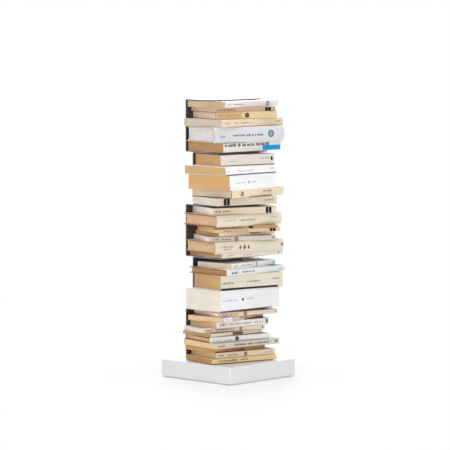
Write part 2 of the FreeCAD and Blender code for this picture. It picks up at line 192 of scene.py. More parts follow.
class Finish(Tree):
    """A material that is being made."""

    def __init__(self, name):
        self.material = bpy.data.materials.new(name)
        self.material.use_nodes = True
        super().__init__(self.material.node_tree)
        self.shader = self.tree.nodes["Principled BSDF"]

    def mix(self, factor, first, second):
        """The first colour where the factor is 0, and the second where it is 1."""
        settings = {"data_type": "RGBA", "clamp_factor": True}
        return self.add("ShaderNodeMix", settings, {0: factor, 6: first, 7: second}, out=2)

    def shade(self, colour, tone):
        """A colour times a number that varies over the surface."""
        return self.add("ShaderNodeVectorMath", {"operation": "SCALE"}, {0: colour, 3: tone})

    def noise(self, where, scale, detail):
        """A noise of 0 to 1. Three scales stretch it differently along each axis."""
        if isinstance(scale, tuple):
            where, scale = where * scale, 1.0
        inputs = {"Vector": where, "Scale": scale, "Detail": detail}
        return self.add("ShaderNodeTexNoise", None, inputs)

    def chance(self, step):
        """A random share for each whole step."""
        settings = {"noise_dimensions": "1D"}
        return self.add("ShaderNodeTexWhiteNoise", settings, {"W": step}, out="Value")

    def own_place(self):
        """A point's place in its own book: along the spine, in from the spine, and up."""
        return self.add("ShaderNodeAttribute", {"attribute_name": PLACE}, out="Vector")

    def object_place(self):
        return self.add("ShaderNodeTexCoord", out="Object")

    def band(self, value, low, high, soft):
        """1 between two limits and 0 outside them, with a soft step at each."""
        return value.rises(low, soft) * value.falls(high, soft)

    def done(self, colour, roughness, height=None, depth=0.0, **plain):
        """Joins the shader up. The height is a relief of that depth, and plain values are the same
        all over the surface."""
        self.put(self.shader.inputs["Base Color"], colour)
        self.put(self.shader.inputs["Roughness"], roughness)
        for name, value in plain.items():
            self.put(self.shader.inputs[name.replace("_", " ")], value)
        if height is not None:
            inputs = {"Strength": 1.0, "Distance": depth, "Height": height}
            self.put(self.shader.inputs["Normal"], self.add("ShaderNodeBump", None, inputs))
        return self.material


# ---------------------------------------------------------------------------------------------
# finishes of the shelf


def powder_coat(name, colour, roughness, grain, dust=None, gloss_coat=0.0):
    """A baked powder coat: an even colour, a fine orange peel, and patches of dust if it has a
    colour for them."""
    paint = Finish(name)
    where = paint.object_place()
    peel = paint.noise(where, 900.0, 2.0)
    pores = paint.noise(where, 3400.0, 1.0)
    cloud = paint.noise(where, 9.0, 3.0)
    coat = paint.shade(linear(colour), cloud.sway(0.1) + peel.sway(grain) + 1.0)
    if dust:
        settled = paint.noise(where, 38.0, 4.0).over(0.52, 3.0)
        coat = paint.mix(settled * 0.35, coat, linear(dust))
    gloss = cloud.sway(0.12) + pores.sway(0.1) + roughness
    relief = peel * 0.7 + pores * 0.3
    return paint.done(coat, gloss, relief, 0.014 * MM, Coat_Weight=gloss_coat, Coat_Roughness=0.14)


def worn_and_highlit_edge(name, colour, bare, roughness):
    """The rounded and cut edges of a coated sheet: a thin, worn coat, painted paler than the sheet's
    coat as a highlight where the edges catch the light.
    """
    paint = Finish(name)
    where = paint.object_place()
    rubbed = (paint.noise(where, 90.0, 4.0).sway(2.2) + 0.4).within()
    coat = paint.mix(rubbed, linear(colour), linear(bare))
    grain = paint.noise(where, 1500.0, 2.0)
    return paint.done(coat, grain.sway(0.2) + roughness, grain, 0.03 * MM)


def plated_steel(name, colour, roughness):
    """Zinc-plated or blackened steel with the fine lines of its rolling."""
    paint = Finish(name)
    where = paint.object_place()
    lines = paint.noise(where, (60.0, 2600.0, 2600.0), 3.0)
    bloom = paint.noise(where, 120.0, 3.0)
    metal = paint.shade(linear(colour), lines.sway(0.25) + bloom.sway(0.3) + 1.0)
    return paint.done(metal, bloom.sway(0.3) + roughness, lines, 0.02 * MM, Metallic=1.0)


def cast_iron(name):
    """Raw castings: a dark metal with the grain of its sand mould."""
    paint = Finish(name)
    where = paint.object_place()
    sand = paint.noise(where, 420.0, 5.0)
    patch = paint.noise(where, 22.0, 3.0)
    iron = paint.shade(linear((74, 74, 76)), sand.sway(0.5) + patch.sway(0.4) + 1.0)
    return paint.done(iron, 0.75, sand, 0.4 * MM, Metallic=0.6)


def glide_rubber(name):
    """Black rubber with paler scuffs."""
    paint = Finish(name)
    where = paint.object_place()
    grain = paint.noise(where, 1300.0, 3.0)
    scuff = paint.noise(where, 160.0, 3.0).over(0.55, 4.0)
    colour = paint.mix(scuff * 0.5, linear((44, 44, 45)), linear((96, 94, 92)))
    return paint.done(colour, scuff * 0.1 + 0.7, grain, 0.05 * MM)


# ---------------------------------------------------------------------------------------------
# finishes of the books


SPINE_LINING = (205, 170, 122)
SILK_THREADS = (224, 210, 180), (196, 156, 108)
STITCH_PITCH = 1.6 * MM  # one stitch of each thread

PRINT_EDGE = 0.4 * MM  # how softly a printed mark ends
PRINT_ROUGHNESS = 0.5
RULES_IN_GROUP = 6
SHORTER = 0.26  # how much lower most rules of a row are than the tall ones
TALL_FROM = 0.62  # the chance from which a rule is a tall one

# These, times a book's number, keep any two books from having the same wear or rules.
LEAF_SHIFT, PRINT_SHIFT = (0.37, 0.21, 0.13), (0.41, 0.17, 0.0)
GROUP_SHIFT, RULE_SHIFT = 7.31, 3.17

YELLOWED, SPECK = (206, 172, 120), (150, 118, 80)
GRIMY_CREASE, PALE_CREASE = (186, 156, 118), (246, 241, 230)
# The first is the brown of a spine's long edges: partly handling wear, partly painted shade where the
# books meet.
HANDLED_AND_SHADED_EDGE, BARE_CARD = (188, 142, 88), (240, 234, 222)


def page_edges(name, book):
    """The cut edges of a block of leaves: fine lines of single leaves, broader ones of gathered
    sections, and paper that has darkened in streaks and near its covers."""
    colour, streaks = book.look.pages, book.look.streaks
    paint = Finish(name)
    own = paint.own_place()
    where = own + tuple(book.number * shift for shift in LEAF_SHIFT)
    leaf = paint.noise(where, (40.0, 40.0, 4200.0), 1.0)
    section = paint.noise(where, (16.0, 16.0, 620.0), 2.0)
    stain = paint.noise(where, (22.0, 22.0, 60.0), 3.0)
    tone = leaf.sway(0.34) + section.sway(0.3) * streaks + stain.sway(0.24) + 1.02
    rim = 1.6 * MM
    near_cover = 1.0 - paint.band(own.parts()[2], rim, book.thickness - rim, 2.4 * MM)
    aged = paint.mix(near_cover * 0.4, linear(colour), linear([c * 0.86 for c in colour]))
    foxed = paint.noise(where, (9.0, 9.0, 330.0), 3.0).over(0.5, 5.0)
    fox_brown = linear([c * share for c, share in zip(colour, (0.93, 0.85, 0.76))])
    aged = paint.mix(foxed * 0.4 * streaks, aged, fox_brown)
    return paint.done(paint.shade(aged, tone), 0.85, leaf * 0.6 + section * 0.4, 0.12 * MM)


def cut_card(name, book):
    """The cut edge and the inside of a cover, or the turned-in edge of a board. Between its boards
    a hardback shows the tan lining of its spine."""
    colour = book.look.edge
    paint = Finish(name)
    where = paint.own_place()
    fibre = paint.noise(where, 1600.0, 3.0)
    rub = paint.noise(where, 110.0, 4.0).over(0.56, 5.0)
    light = linear([min(255, c * 0.7 + 80) for c in colour])
    card = paint.mix(rub * 0.5, linear(colour), light)
    if book.hard:
        low, high = BOARD + 0.4 * MM, book.thickness - BOARD - 0.4 * MM
        lining = paint.band(where.parts()[2], low, high, 0.5 * MM)
        card = paint.mix(lining, card, linear(SPINE_LINING))
    return paint.done(paint.shade(card, fibre.sway(0.2) + 1.0), 0.8, fibre, 0.06 * MM)


def headband_silk(name):
    """The two-colour stitching of a headband."""
    paint = Finish(name)
    own = paint.own_place()
    turn = own.parts()[2] * (1 / STITCH_PITCH)
    stripe = paint.band(turn.past_floor(), 0.5, 1.0, 0.1)
    colour = paint.mix(stripe, *(linear(thread) for thread in SILK_THREADS))
    return paint.done(colour, 0.6, paint.noise(own, 4000.0, 1.0), 0.05 * MM)


def printed_strip(paint, x, z, book, kind, at, up, pitch):
    """Where a bar of the spine is, or a row of short rules, in groups of a varied length. Some
    rules of a row are taller than the others."""
    bottom, top = up[0] * book.thickness, up[1] * book.thickness
    mask = paint.band(x, at[0] * book.length, at[1] * book.length, PRINT_EDGE)
    if kind == "rules":
        group, rule = x * (1 / (pitch * RULES_IN_GROUP * MM)), x * (1 / (pitch * MM))
        filled = paint.chance(group.floor() + book.number * GROUP_SHIFT) * 0.35 + 0.6
        mask = mask * paint.band(group.past_floor(), 0.03, filled, 0.03)
        mask = mask * paint.band(rule.past_floor(), 0.06, 0.8, 0.16)
        tall = paint.chance(rule.floor() + book.number * RULE_SHIFT) > TALL_FROM
        short_top = top * (1 - SHORTER) + bottom * SHORTER
        top = tall * ((top - bottom) * SHORTER) + short_top
    return mask * paint.band(z, bottom, top, 0.3 * MM)


def printed_emblem(paint, x, z, book, kind, at, up, size):
    """Where a disc, ring or lozenge of the spine is."""
    side, rise, radius = x - at * book.length, z - up * book.thickness, size * MM
    if kind == "lozenge":
        distance = abs(side) * 1.5 + abs(rise) * 0.8
    else:
        distance = paint.point(side, 0.0, rise).length()
    inside = distance.falls(radius, PRINT_EDGE)
    if kind == "ring":
        hole = distance.falls(radius * 0.62, PRINT_EDGE)
        inside = inside * (1.0 - hole * 0.4)
    return inside


def printed_design(paint, book, x, y, on_spine):
    """The plain colours of a cover: faces with a ruled frame and a tinted panel, and the spine,
    which may have a stretch in another colour."""
    look, length, width = book.look, book.length, book.width
    accent = linear(look.accent)

    def inside_line(inset):
        along = paint.band(x, inset, length - inset, 0.3 * MM)
        return along * paint.band(y, inset + 3 * MM, width - inset, 0.3 * MM)

    ruled = inside_line(9 * MM) - inside_line(10 * MM)
    printed = paint.mix(ruled, linear(look.face), accent)
    start, stop, near, far, tint = look.panel
    panel = paint.band(x, length * start, length * stop, PRINT_EDGE)
    panel = panel * paint.band(y, width * near, width * far, PRINT_EDGE)
    printed = paint.mix(panel * tint, printed, accent)
    printed = paint.mix(on_spine, printed, linear(look.spine))
    if look.end:
        start, stop, colour = look.end
        stretch = paint.band(x, start * length, stop * length, 0.5 * MM) * on_spine
        printed = paint.mix(stretch, printed, linear(colour))
    return printed


def printed_cover(name, book):
    """A printed cover: its plain design and marks (a few bars among them painted shade at a spine's
    foot), reading creases along the spine, rubbed edges, aged paper, and a warm brown along the
    spine's long edges that is partly handling wear and partly painted shade where the books meet."""
    look, thickness = book.look, book.thickness
    paint = Finish(name)
    own = paint.own_place()
    x, y, z = own.parts()
    shifted = own + tuple(book.number * shift for shift in PRINT_SHIFT)
    # The spine's colour runs a little way on to the faces.
    on_spine = y.falls(book.rise + 1.4 * MM, 0.6 * MM)
    printed = printed_design(paint, book, x, y, on_spine)
    # Paper that has yellowed unevenly, under the marks.
    cloud = paint.noise(shifted, 16.0, 4.0)
    speck = paint.noise(shifted, 420.0, 2.0).over(0.68, 8.0)
    yellowed = cloud.over(0.47, 4.0) * look.worn
    printed = paint.mix(yellowed * 0.16, printed, linear(YELLOWED))
    printed = paint.mix(speck * 0.24, printed, linear(SPECK))
    # Most marks are print; the bars noted in LOOKS as painted shade lie along a spine's foot.
    for kind, at, up, size, ink in look.marks:
        print_mark = printed_strip if kind in ("bar", "rules") else printed_emblem
        mask = print_mark(paint, x, z, book, kind, at, up, size)
        printed = paint.mix(mask * on_spine, printed, linear(ink))
    # Reading creases, which run along the spine: white on a dark cover, and grimy on a pale one.
    crease = paint.noise(shifted, (11.0, 0.0, 900.0), 2.0).over(0.62, 9.0) * on_spine * look.worn
    crease_colour = GRIMY_CREASE if min(look.spine) > 150 else PALE_CREASE
    printed = paint.mix(crease * 0.42, printed, linear(crease_colour))
    # Rubbed long edges and corners; then a warm brown along the spine's long edges, partly handling
    # wear and partly painted shade where the books meet.
    ends = 1.0 - paint.band(x, 1.2 * MM, book.length - 1.2 * MM, 2.0 * MM)
    sides = 1.0 - paint.band(z, 0.7 * MM, thickness - 0.7 * MM, 1.0 * MM)
    scuffs = paint.noise(shifted, 240.0, 5.0).over(0.5, 5.0)
    rubbed = ends.most(sides * on_spine) * scuffs * look.worn
    edge_wear_and_shade = sides * on_spine * paint.noise(shifted, 30.0, 3.0).over(0.4, 4.0)
    printed = paint.mix(edge_wear_and_shade * look.worn * 0.42, printed, linear(HANDLED_AND_SHADED_EDGE))
    printed = paint.mix(rubbed * 0.4, printed, linear(BARE_CARD))
    grain = paint.noise(shifted, 1800.0, 2.0)
    coat = paint.shade(printed, cloud.sway(0.16) + grain.sway(0.06) + 1.0)
    gloss = cloud.sway(0.16) + rubbed * 0.2 + PRINT_ROUGHNESS
    relief = grain * 0.35 - crease * 0.9 - scuffs * rubbed * 0.5
    return paint.done(coat, gloss, relief, 0.1 * MM, Specular_IOR_Level=0.25)


# ---------------------------------------------------------------------------------------------
# what each book looks like


class Look:
    """The colours of one book (0 to 255), its plain marks (a few bars among them are painted shade at
    the spine's foot), the thickness of its card and its wear.
    """

    def __init__(self, spine, pages, *marks, edge=None, face=None, accent=None, card=0.5,
                 end=None, worn=1.0, lean=0.0, panel=(0.56, 0.86, 0.24, 0.8, 0.5), streaks=1.0):
        self.spine = spine
        self.pages = pages
        self.marks = marks
        self.edge = edge or tuple(min(255, 0.5 * c + 118) for c in spine)
        self.face = face or spine
        self.accent = accent or tuple(c * 0.72 for c in self.face)
        self.card = card * MM
        self.end = end  # a stretch of the spine in another colour: two shares of its length, colour
        self.worn = worn
        self.lean = lean * MM  # how far the top of the book has slid back from its foot
        self.streaks = streaks  # how plainly the leaves show their sections
        self.panel = panel  # shares of the length and width, and how strong its tint is


def rules(start, stop, low, high, ink, pitch=1.5):
    """A row of short rules, a pitch in millimetres apart, between two shares of the spine's length
    and of its height."""
    return ("rules", (start, stop), (low, high), pitch, ink)


def bar(start, stop, low, high, ink):
    """A plain bar between two shares of the spine's length and of its height. Some books have one at
    the spine's foot as painted shade rather than print.
    """
    return ("bar", (start, stop), (low, high), 0.0, ink)


def mark(kind, at, up, size, ink):
    """A disc, ring or lozenge, its size in millimetres."""
    return (kind, at, up, size, ink)


BLACK = (14, 13, 14)
LOOKS = [  # book 1, at the top, comes first
    Look((246, 243, 246), (214, 185, 149), rules(0.05, 0.11, 0.38, 0.62, (120, 106, 104)),
         rules(0.15, 0.36, 0.38, 0.64, (104, 92, 90)),
         mark("ring", 0.8, 0.5, 6.6, (122, 138, 166)), lean=-3.0),
    Look((192, 167, 138), (211, 182, 152), rules(0.02, 0.32, 0.3, 0.7, (70, 48, 28)),
         bar(0.828, 0.874, 0.05, 0.95, BLACK), bar(0.879, 0.925, 0.05, 0.95, BLACK)),
    Look((220, 198, 159), (233, 216, 197), rules(0.04, 0.12, 0.4, 0.64, (150, 108, 60)),
         rules(0.16, 0.4, 0.42, 0.62, (178, 138, 82)),
         mark("disc", 0.51, 0.5, 7.0, (112, 76, 50)), edge=(190, 62, 56), face=(196, 70, 60),
         card=1.8, end=(0.0, 0.43, (208, 177, 130))),
    Look((233, 217, 188), (208, 198, 180), rules(0.05, 0.14, 0.4, 0.62, (134, 110, 72)),
         rules(0.2, 0.27, 0.42, 0.6, (152, 126, 84)), rules(0.31, 0.5, 0.42, 0.62, (150, 124, 82)),
         rules(0.88, 0.96, 0.46, 0.68, (166, 104, 64)), bar(0.08, 1.0, 0.0, 0.09, (214, 122, 78))),
    Look((213, 214, 218), (229, 226, 226), rules(0.09, 0.16, 0.34, 0.5, (112, 112, 108)),
         rules(0.26, 0.7, 0.4, 0.54, (52, 54, 50)),
         mark("ring", 0.81, 0.52, 9.6, (84, 114, 126)), edge=(204, 178, 136), worn=0.4),
    Look((235, 230, 222), (195, 149, 101), rules(0.02, 0.8, 0.56, 0.88, (26, 24, 24), 2.8),
         bar(0.68, 0.99, 0.06, 0.56, (0, 156, 226)), bar(0.0, 0.4, 0.93, 1.0, (52, 86, 102)),
         face=(40, 98, 120), worn=0.5),
    Look((226, 216, 206), (212, 168, 119), rules(0.15, 0.3, 0.36, 0.48, (170, 150, 128)),
         rules(0.71, 0.91, 0.58, 0.68, (132, 110, 92)), bar(0.935, 0.972, 0.4, 0.74, BLACK),
         # painted shade: a brownish bar along the foot of the spine, where it meets the book below
         bar(0.0, 1.0, 0.0, 0.09, (132, 98, 74)), lean=2.0),
    Look((246, 246, 248), (208, 172, 126), mark("disc", 0.06, 0.5, 1.8, (120, 140, 184)),
         rules(0.22, 0.56, 0.38, 0.62, (182, 190, 212)),
         rules(0.89, 0.98, 0.48, 0.7, (160, 166, 180)),
         # painted shade: a dark bar along the foot of the spine, where it meets the book below
         bar(0.0, 1.0, 0.0, 0.14, (84, 74, 72)), worn=0.4, lean=6.0),
    Look((251, 252, 252), (214, 169, 114), rules(0.11, 0.34, 0.45, 0.55, (186, 182, 182)),
         mark("disc", 0.41, 0.5, 3.6, (232, 138, 88)),
         rules(0.47, 0.55, 0.45, 0.55, (172, 174, 196)), worn=0.3, lean=4.0, streaks=0.5),
    Look((240, 225, 198), (209, 190, 164), mark("ring", 0.2, 0.5, 6.6, (98, 78, 48)),
         rules(0.6, 0.76, 0.54, 0.78, (44, 32, 20)), bar(0.34, 0.78, 0.0, 0.15, (196, 150, 92)),
         edge=(62, 64, 50), face=(62, 68, 54), accent=(170, 160, 120), card=1.8, lean=-3.0),
    Look((211, 195, 179), (229, 221, 208), bar(0.096, 0.145, 0.05, 0.95, BLACK),
         bar(0.151, 0.2, 0.05, 0.95, BLACK), rules(0.79, 0.96, 0.46, 0.68, (116, 100, 86))),
    Look((223, 207, 188), (254, 248, 238), rules(0.04, 0.13, 0.38, 0.64, (96, 76, 50)),
         rules(0.16, 0.29, 0.38, 0.62, (92, 72, 48)),
         bar(0.833, 0.876, 0.05, 0.95, BLACK), bar(0.882, 0.925, 0.05, 0.95, BLACK),
         streaks=0.3),
    Look((228, 216, 196), (217, 185, 144), rules(0.1, 0.29, 0.48, 0.6, (176, 154, 114)),
         rules(0.35, 0.59, 0.45, 0.62, (92, 76, 46)),
         rules(0.81, 0.93, 0.6, 0.72, (164, 146, 112)), edge=(166, 78, 62), face=(218, 204, 178),
         worn=0.5),
    Look((173, 143, 109), (229, 197, 152), rules(0.03, 0.46, 0.2, 0.7, (70, 50, 28)),
         bar(0.55, 0.615, 0.1, 0.92, BLACK)),
    Look((213, 190, 155), (249, 221, 185), rules(0.13, 0.52, 0.28, 0.68, (138, 106, 62)),
         bar(0.838, 0.88, 0.08, 0.92, BLACK), bar(0.886, 0.928, 0.08, 0.92, BLACK)),
    Look((254, 238, 207), (250, 180, 108), rules(0.54, 0.74, 0.26, 0.84, (72, 44, 22)),
         face=(205, 140, 70)),
    Look((200, 193, 186), (254, 246, 238), rules(0.07, 0.15, 0.36, 0.64, (74, 68, 68)),
         rules(0.18, 0.33, 0.36, 0.64, (70, 64, 64)),
         mark("ring", 0.41, 0.5, 5.4, (84, 74, 74)), mark("disc", 0.965, 0.5, 2.6, (92, 84, 84))),
    Look((220, 211, 191), (217, 187, 147), rules(0.08, 0.26, 0.54, 0.67, (124, 108, 78)),
         rules(0.13, 0.23, 0.34, 0.46, (124, 108, 78)),
         mark("lozenge", 0.36, 0.5, 5.6, (112, 96, 66)),
         mark("lozenge", 0.42, 0.5, 7.0, (112, 96, 66)),
         mark("lozenge", 0.48, 0.5, 5.6, (112, 96, 66)), bar(0.96, 0.982, 0.46, 0.66, BLACK),
         edge=(166, 88, 72), face=(216, 204, 180), worn=0.5),
    Look((232, 224, 209), (188, 155, 114), rules(0.06, 0.22, 0.4, 0.64, (150, 124, 84)),
         rules(0.34, 0.5, 0.4, 0.66, (116, 90, 54)), mark("disc", 0.93, 0.5, 2.6, (136, 110, 78))),
    Look((248, 244, 246), (238, 215, 188), rules(0.05, 0.14, 0.36, 0.64, (92, 86, 98)),
         rules(0.18, 0.48, 0.36, 0.64, (88, 82, 94)), bar(0.555, 0.575, 0.08, 0.92, (120, 118, 134)),
         mark("disc", 0.965, 0.5, 2.6, (110, 106, 118))),
    Look((226, 226, 226), (181, 138, 92), rules(0.08, 0.2, 0.26, 0.76, (28, 52, 72), 2.2),
         rules(0.26, 0.48, 0.36, 0.68, (44, 78, 104), 2.2),
         rules(0.88, 0.96, 0.4, 0.64, (116, 144, 158)), edge=(148, 92, 62), face=(34, 166, 202),
         accent=(226, 228, 229), worn=0.4, panel=(-0.1, 0.8, -0.1, 0.72, 1.0)),
    Look((220, 211, 195), (206, 168, 120), rules(0.02, 0.2, 0.42, 0.56, (76, 66, 44)),
         rules(0.42, 0.64, 0.46, 0.6, (140, 124, 86)),
         rules(0.83, 0.95, 0.55, 0.66, (108, 92, 58)),
         # painted shadow: a near-black bar along the foot of the spine, for the shadowed gap to the
         # book below
         bar(0.0, 0.92, 0.0, 0.15, (46, 30, 26)), lean=1.5),
    Look((233, 234, 237), (229, 222, 207), rules(0.05, 0.3, 0.48, 0.57, (172, 176, 186)),
         mark("disc", 0.38, 0.52, 3.8, (66, 54, 44)),
         rules(0.44, 0.58, 0.5, 0.59, (176, 180, 188)),
         # painted shade: a thin brown bar along the foot of the spine, for the gap to the book below
         bar(0.0, 0.88, 0.0, 0.05, (120, 84, 62)), worn=0.3, streaks=0.25),
    Look((219, 203, 183), (255, 254, 248), rules(0.07, 0.14, 0.36, 0.66, (116, 82, 54)),
         rules(0.19, 0.34, 0.36, 0.66, (112, 80, 52)),
         mark("ring", 0.45, 0.5, 5.4, (92, 66, 46)), mark("disc", 0.965, 0.5, 2.4, (140, 112, 84)),
         edge=(250, 158, 132), face=(196, 158, 120), card=1.5, streaks=0.0),
    Look((207, 195, 172), (220, 195, 156), mark("disc", 0.08, 0.5, 2.2, (110, 140, 168)),
         rules(0.4, 0.62, 0.4, 0.8, (58, 72, 66)), rules(0.7, 0.92, 0.5, 0.9, (70, 112, 116)),
         # painted shade: a brown bar along the foot of the spine's far half
         bar(0.5, 1.0, 0.0, 0.3, (150, 112, 76)), face=(250, 160, 136),
         end=(0.0, 0.2, (236, 236, 236))),
    Look((229, 228, 224), (223, 191, 141), rules(0.06, 0.18, 0.24, 0.74, (112, 116, 126)),
         rules(0.22, 0.66, 0.36, 0.62, (112, 112, 114)), rules(0.72, 0.9, 0.38, 0.6, (124, 122, 120)),
         bar(0.95, 0.99, 0.2, 0.84, (84, 82, 72)), face=(40, 40, 42), accent=(120, 120, 120)),
    Look((227, 214, 198), (229, 225, 224), rules(0.06, 0.18, 0.36, 0.64, (78, 68, 62)),
         rules(0.22, 0.52, 0.34, 0.64, (76, 66, 60)),
         mark("ring", 0.62, 0.5, 4.2, (92, 78, 68)), mark("disc", 0.965, 0.5, 2.8, (104, 92, 84)),
         face=(214, 212, 212)),
    Look((223, 212, 191), (193, 152, 99), bar(0.42, 0.62, 0.14, 0.94, (104, 88, 72)),
         face=(200, 150, 92)),
    Look((223, 224, 220), (216, 189, 146), rules(0.05, 0.18, 0.3, 0.5, (132, 134, 142)),
         rules(0.23, 0.36, 0.3, 0.5, (136, 146, 152)),
         mark("disc", 0.45, 0.5, 6.2, (66, 78, 88)), bar(0.0, 0.93, 0.0, 0.1, (196, 166, 116)),
         edge=(150, 52, 52), face=(140, 104, 84), worn=0.6),
    Look((198, 194, 186), (230, 203, 156), rules(0.03, 0.15, 0.34, 0.64, (50, 54, 54)),
         rules(0.28, 0.58, 0.34, 0.7, (34, 38, 38)), rules(0.6, 0.84, 0.34, 0.7, (48, 52, 52)),
         mark("disc", 0.95, 0.5, 3.2, (50, 50, 50))),
    Look((203, 148, 81), (205, 159, 102), rules(0.2, 0.6, 0.36, 0.62, (118, 74, 38)),
         # painted shade: a dark orange-brown bar along the foot of the spine
         bar(0.0, 0.6, 0.0, 0.3, (128, 66, 30))),
    Look((219, 206, 183), (220, 195, 151), rules(0.05, 0.14, 0.34, 0.64, (84, 58, 36)),
         rules(0.2, 0.38, 0.34, 0.64, (86, 60, 38)),
         mark("ring", 0.5, 0.5, 5.6, (96, 70, 46)), rules(0.8, 0.96, 0.3, 0.7, (202, 166, 124))),
    Look((220, 189, 139), (189, 142, 88), rules(0.1, 0.4, 0.3, 0.76, (44, 26, 10)),
         rules(0.44, 0.55, 0.34, 0.74, (54, 34, 14)), end=(0.95, 1.0, (230, 202, 134))),
]


# ---------------------------------------------------------------------------------------------
# covers and cases


class Form:
    """Points and faces, with each face's slot and smoothness, gathered before they become a mesh."""

    def __init__(self):
        self.points = []
        self.faces = []
        self.slots = []
        self.smooth = []

    def add(self, points, faces, slots, smooth=True):
        first = len(self.points)
        self.points.extend(tuple(p) for p in points)
        self.faces.extend([first + i for i in face] for face in faces)
        self.slots.extend(slots)
        self.smooth.extend([smooth] * len(faces))


def sweep(outer, inner, stations):
    """A sheet of two matching outlines (y, z), swept along x. Its outer surface is the cover, and
    its inner surface, its long edges and its two ends are card."""
    ring = outer + inner[::-1]
    count, half = len(ring), len(outer)
    points = [(x, y, z) for x in stations for y, z in ring]
    faces, slots = [], []
    for row in range(len(stations) - 1):
        low, high = row * count, (row + 1) * count
        for i in range(count):
            j = (i + 1) % count
            faces.append((low + i, low + j, high + j, high + i))
            slots.append(COVER if i < half - 1 else CARD)
    last = (len(stations) - 1) * count
    for a in range(half - 1):
        b, c, d = a + 1, count - 2 - a, count - 1 - a
        faces.append((d, c, b, a))
        faces.append((last + a, last + b, last + c, last + d))
        slots.extend((CARD, CARD))
    return points, faces, slots


def mirrored(low, middle, thick):
    """An outline from its lower half and its middle at the spine."""
    return low + middle + [(y, thick - z) for y, z in reversed(low)]


def paperback_cover(book):
    """A card cover: flat faces, rounded long edges and a spine that bows in a little between them.
    y runs in from the spine, and z up."""
    card, thick = book.look.card, book.thickness
    radius = max(min(1.3 * MM, thick * 0.14), card * 1.2)  # of the rounded long edges
    bow = min(0.5 * MM, thick * 0.02)  # how far in the spine bows
    depths = [book.width, book.width * 0.6, 14 * MM, 7 * MM, 4 * MM, radius]
    turns = [math.radians(degrees) for degrees in (22, 45, 68)]
    heights = [radius + (thick - 2 * radius) * t for t in (0.0, 0.2, 0.4, 0.6, 0.8, 1.0)]

    def outline(inset):
        small = radius - inset
        low = [(y, inset) for y in depths]
        low += [(radius - small * math.sin(a), radius - small * math.cos(a)) for a in turns]
        middle = [(inset + bow * math.sin(math.pi * (z - radius) / (thick - 2 * radius)), z)
                  for z in heights]
        return mirrored(low, middle, thick)

    return sweep(outline(0.0), outline(card), np.linspace(0.0, book.length, 9))


def hardback_case(book):
    """A case: boards with rounded edges, a groove beside the spine, and a spine rounded out over
    the block's back."""
    thick, rise, width = book.thickness, book.rise, book.width

    def back(z):
        return rise * abs(2 * z / thick - 1) ** 3

    soft = 0.5 * MM  # how much the boards' edges are rounded
    groove = rise + 5.5 * MM  # the middle of the groove
    # The groove's points: how far in they are from its middle, and how deep.
    dip = [(3.4 * MM, 0.0), (1.6 * MM, 0.5 * MM), (0.0, 0.9 * MM), (-1.8 * MM, 0.5 * MM)]
    corner = rise + 1.4 * MM  # where a board's face turns into the spine
    low = [(width, soft), (width - soft, 0.0), (width * 0.5, 0.0)]
    low += [(groove + y, depth) for y, depth in dip] + [(corner, 0.1 * MM)]
    inner_low = [(width, BOARD - 0.3 * MM), (width - soft, BOARD), (width * 0.5, BOARD)]
    inner_low += [(groove + y, BOARD) for y, _ in dip] + [(corner + SPINE_SHELL, BOARD)]
    shares = [i / 10 for i in range(11)]
    outer_back = [(back(thick * t), thick * t) for t in shares]
    inner_back = [(back(thick * t) + SPINE_SHELL, BOARD + (thick - 2 * BOARD) * t) for t in shares]
    outer = mirrored(low, outer_back, thick)
    inner = mirrored(inner_low, inner_back, thick)
    return sweep(outer, inner, np.linspace(0.0, book.length, 7))


# ---------------------------------------------------------------------------------------------
# leaves and headbands, which are grown by Geometry Nodes


class Growth(Tree):
    """A Geometry Nodes tree with named inputs, which grows a mesh from nothing."""

    def __init__(self, name, **inputs):
        group = bpy.data.node_groups.new(name, "GeometryNodeTree")
        super().__init__(group)
        self.names = {}
        for title, kind in inputs.items():
            kind = "NodeSocket" + kind
            socket = group.interface.new_socket(title, in_out="INPUT", socket_type=kind)
            self.names[title] = socket.identifier
        group.interface.new_socket("Mesh", in_out="OUTPUT", socket_type="NodeSocketGeometry")
        source = group.nodes.new("NodeGroupInput")
        self.given = {title: Wire(self, source.outputs[title]) for title in inputs}

    def close(self, mesh):
        """Ends the tree: instances become real, and the mesh gets its material."""
        real = self.add("GeometryNodeRealizeInstances", None, [mesh])
        dressed = self.add("GeometryNodeSetMaterial", None, {0: real, 2: self.given["material"]})
        self.add("NodeGroupOutput", None, [dressed])

    def grow(self, **values):
        """The tree's plain mesh for these values of its inputs."""
        blank = placed("blank", bpy.data.meshes.new("blank"))
        modifier = blank.modifiers.new("growth", "NODES")
        modifier.node_group = self.tree
        for title, value in values.items():
            modifier[self.names[title]] = value
        graph = bpy.context.evaluated_depsgraph_get()
        mesh = bpy.data.meshes.new_from_object(blank.evaluated_get(graph), depsgraph=graph)
        blank.modifiers.remove(modifier)
        bpy.data.objects.remove(blank)
        return mesh


def leaf_block_tree():
    """A block of leaves: a box cut into layers, each trimmed a little differently, with its back
    rounded out and its fore-edge hollowed by as much."""
    tree = Growth("leaf_block", length="Float", depth="Float", thickness="Float", layers="Int",
                  raggedness="Float", rounding="Float", seed="Int", material="Material")
    given = tree.given
    size = tree.point(given["length"], given["depth"], given["thickness"])
    box = {"Size": size, "Vertices X": 6, "Vertices Y": 5, "Vertices Z": given["layers"]}
    block = tree.add("GeometryNodeMeshCube", None, box)
    x, y, z = tree.add("GeometryNodeInputPosition").parts()
    share = z / given["thickness"] + 0.5
    layer = (share * (given["layers"] - 1) + 0.5).floor()

    def trim(offset, half):
        picks = {2: 0.0, 3: 1.0, 7: layer, 8: given["seed"] + offset}
        chance = tree.add("FunctionNodeRandomValue", {"data_type": "FLOAT"}, picks, out=1)
        return 1.0 - chance * given["raggedness"] / (half * 0.5)

    across = share * 2.0 - 1.0
    rounded = (1.0 - across * across * across * across) * given["rounding"]
    new_x = x * trim(0, given["length"])
    new_y = y * trim(1, given["depth"]) - rounded
    moved = tree.point(new_x, new_y, z)
    tree.close(tree.add("GeometryNodeSetPosition", None, {0: block, 2: moved}))
    return tree


